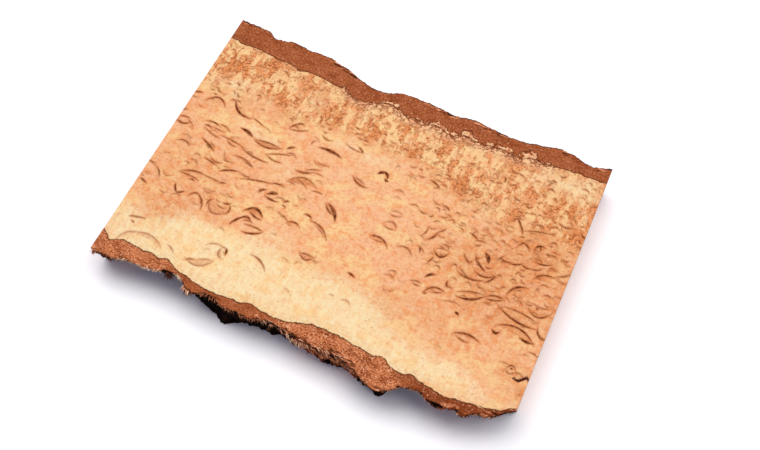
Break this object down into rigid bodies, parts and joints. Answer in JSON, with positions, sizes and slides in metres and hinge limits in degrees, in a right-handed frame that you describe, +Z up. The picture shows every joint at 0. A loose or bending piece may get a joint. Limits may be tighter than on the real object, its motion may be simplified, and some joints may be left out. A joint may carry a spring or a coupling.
{
  "type": "live-edge birch plank",
  "caption": "Flat sawn live-edge plank of curly birch wood with rough bark along both long edges.",
  "frame": {"origin": "centre of the bounding box, on the sawn underside that the plank lies on", "axes": "+X along the grain, +Y across the plank from the near bark edge to the far one, +Z up through the thickness"},
  "size_m": [0.3, 0.23, 0.025],
  "materials": {
    "birch_wood": "fine sanded, satin, with brown curly figure",
    "birch_bark": "sawn red-brown inner bark with rough dark outside, matt"
  },
  "bodies": {
    "root": {"wood": "birch_wood", "bark_near": "birch_bark", "bark_far": "birch_bark"}
  },
  "joints": []
}
